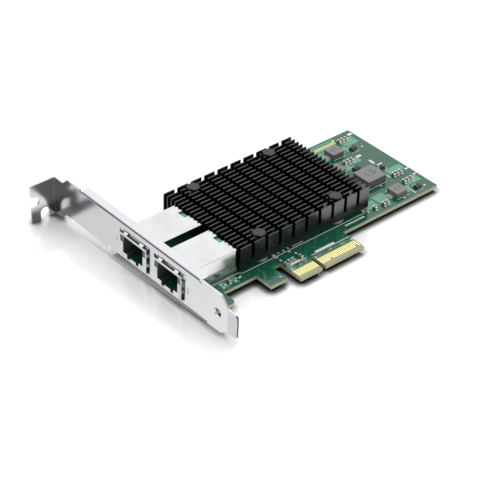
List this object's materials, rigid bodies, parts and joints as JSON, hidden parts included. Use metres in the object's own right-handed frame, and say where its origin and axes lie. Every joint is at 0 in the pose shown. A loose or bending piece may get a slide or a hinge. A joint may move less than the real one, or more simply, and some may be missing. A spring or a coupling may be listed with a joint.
{
  "type": "network interface card",
  "caption": "Low-profile expansion card with two shielded network jacks, a full-height bracket, a black pin-fin heat sink on push pins and a four-lane edge connector.",
  "frame": {"origin": "on the bracket's outer face, 0.45 mm inside the end of the edge connector and level with the component side of the board", "axes": "+X from the bracket along the board, +Y from the edge connector towards the bracket's screw tab, +Z out of the component side"},
  "size_m": [0.1486, 0.12, 0.0216],
  "materials": {
    "solder_mask": "satin green solder mask over glass-fibre laminate",
    "gold_plate": "gold plate",
    "bracket_steel": "bright nickel-plated sheet steel",
    "screw_steel": "nickel-plated",
    "shield_metal": "bright nickel-plated",
    "jack_plastic": "moulded",
    "light_pipe": "clear, unlit",
    "transformer_plastic": "moulded",
    "inner_board": "green solder mask, plain",
    "tinned_metal": "tin plate",
    "black_anodised": "satin black anodised",
    "pin_plastic": "moulded",
    "spring_steel": "plain wire",
    "thermal_pad": "soft grey pad",
    "chip_package": "laminate with a bare die",
    "inductor_body": "pressed powder, matt grey",
    "capacitor_ceramic": "fired, tan",
    "regulator_plastic": "moulded",
    "can_metal": "dark satin"
  },
  "bodies": {
    "root": {"circuit_board": "solder_mask", "edge_contacts_front": "gold_plate", "edge_contacts_back": "gold_plate", "bracket": "bracket_steel", "bracket_screws": "screw_steel", "jack_1_shield": "shield_metal", "jack_1_housing": "jack_plastic", "jack_1_light_pipes": "light_pipe", "jack_1_contacts": "gold_plate", "jack_1_transformer_block": "transformer_plastic", "jack_1_inner_boards": "inner_board", "jack_2_shield": "shield_metal", "jack_2_housing": "jack_plastic", "jack_2_light_pipes": "light_pipe", "jack_2_contacts": "gold_plate", "jack_2_transformer_block": "transformer_plastic", "jack_2_inner_boards": "inner_board", "jack_tails": "tinned_metal", "inductor_leads": "tinned_metal", "regulator_leads": "tinned_metal", "capacitor_ends": "tinned_metal", "heatsink": "black_anodised", "push_pins": "pin_plastic", "push_pin_springs": "spring_steel", "thermal_pad": "thermal_pad", "controller_chip": "chip_package", "power_inductor": "inductor_body", "input_inductor": "inductor_body", "core_inductor": "inductor_body", "output_inductor": "inductor_body", "capacitor_bodies": "capacitor_ceramic", "regulators": "regulator_plastic", "round_capacitor": "can_metal"}
  },
  "joints": []
}
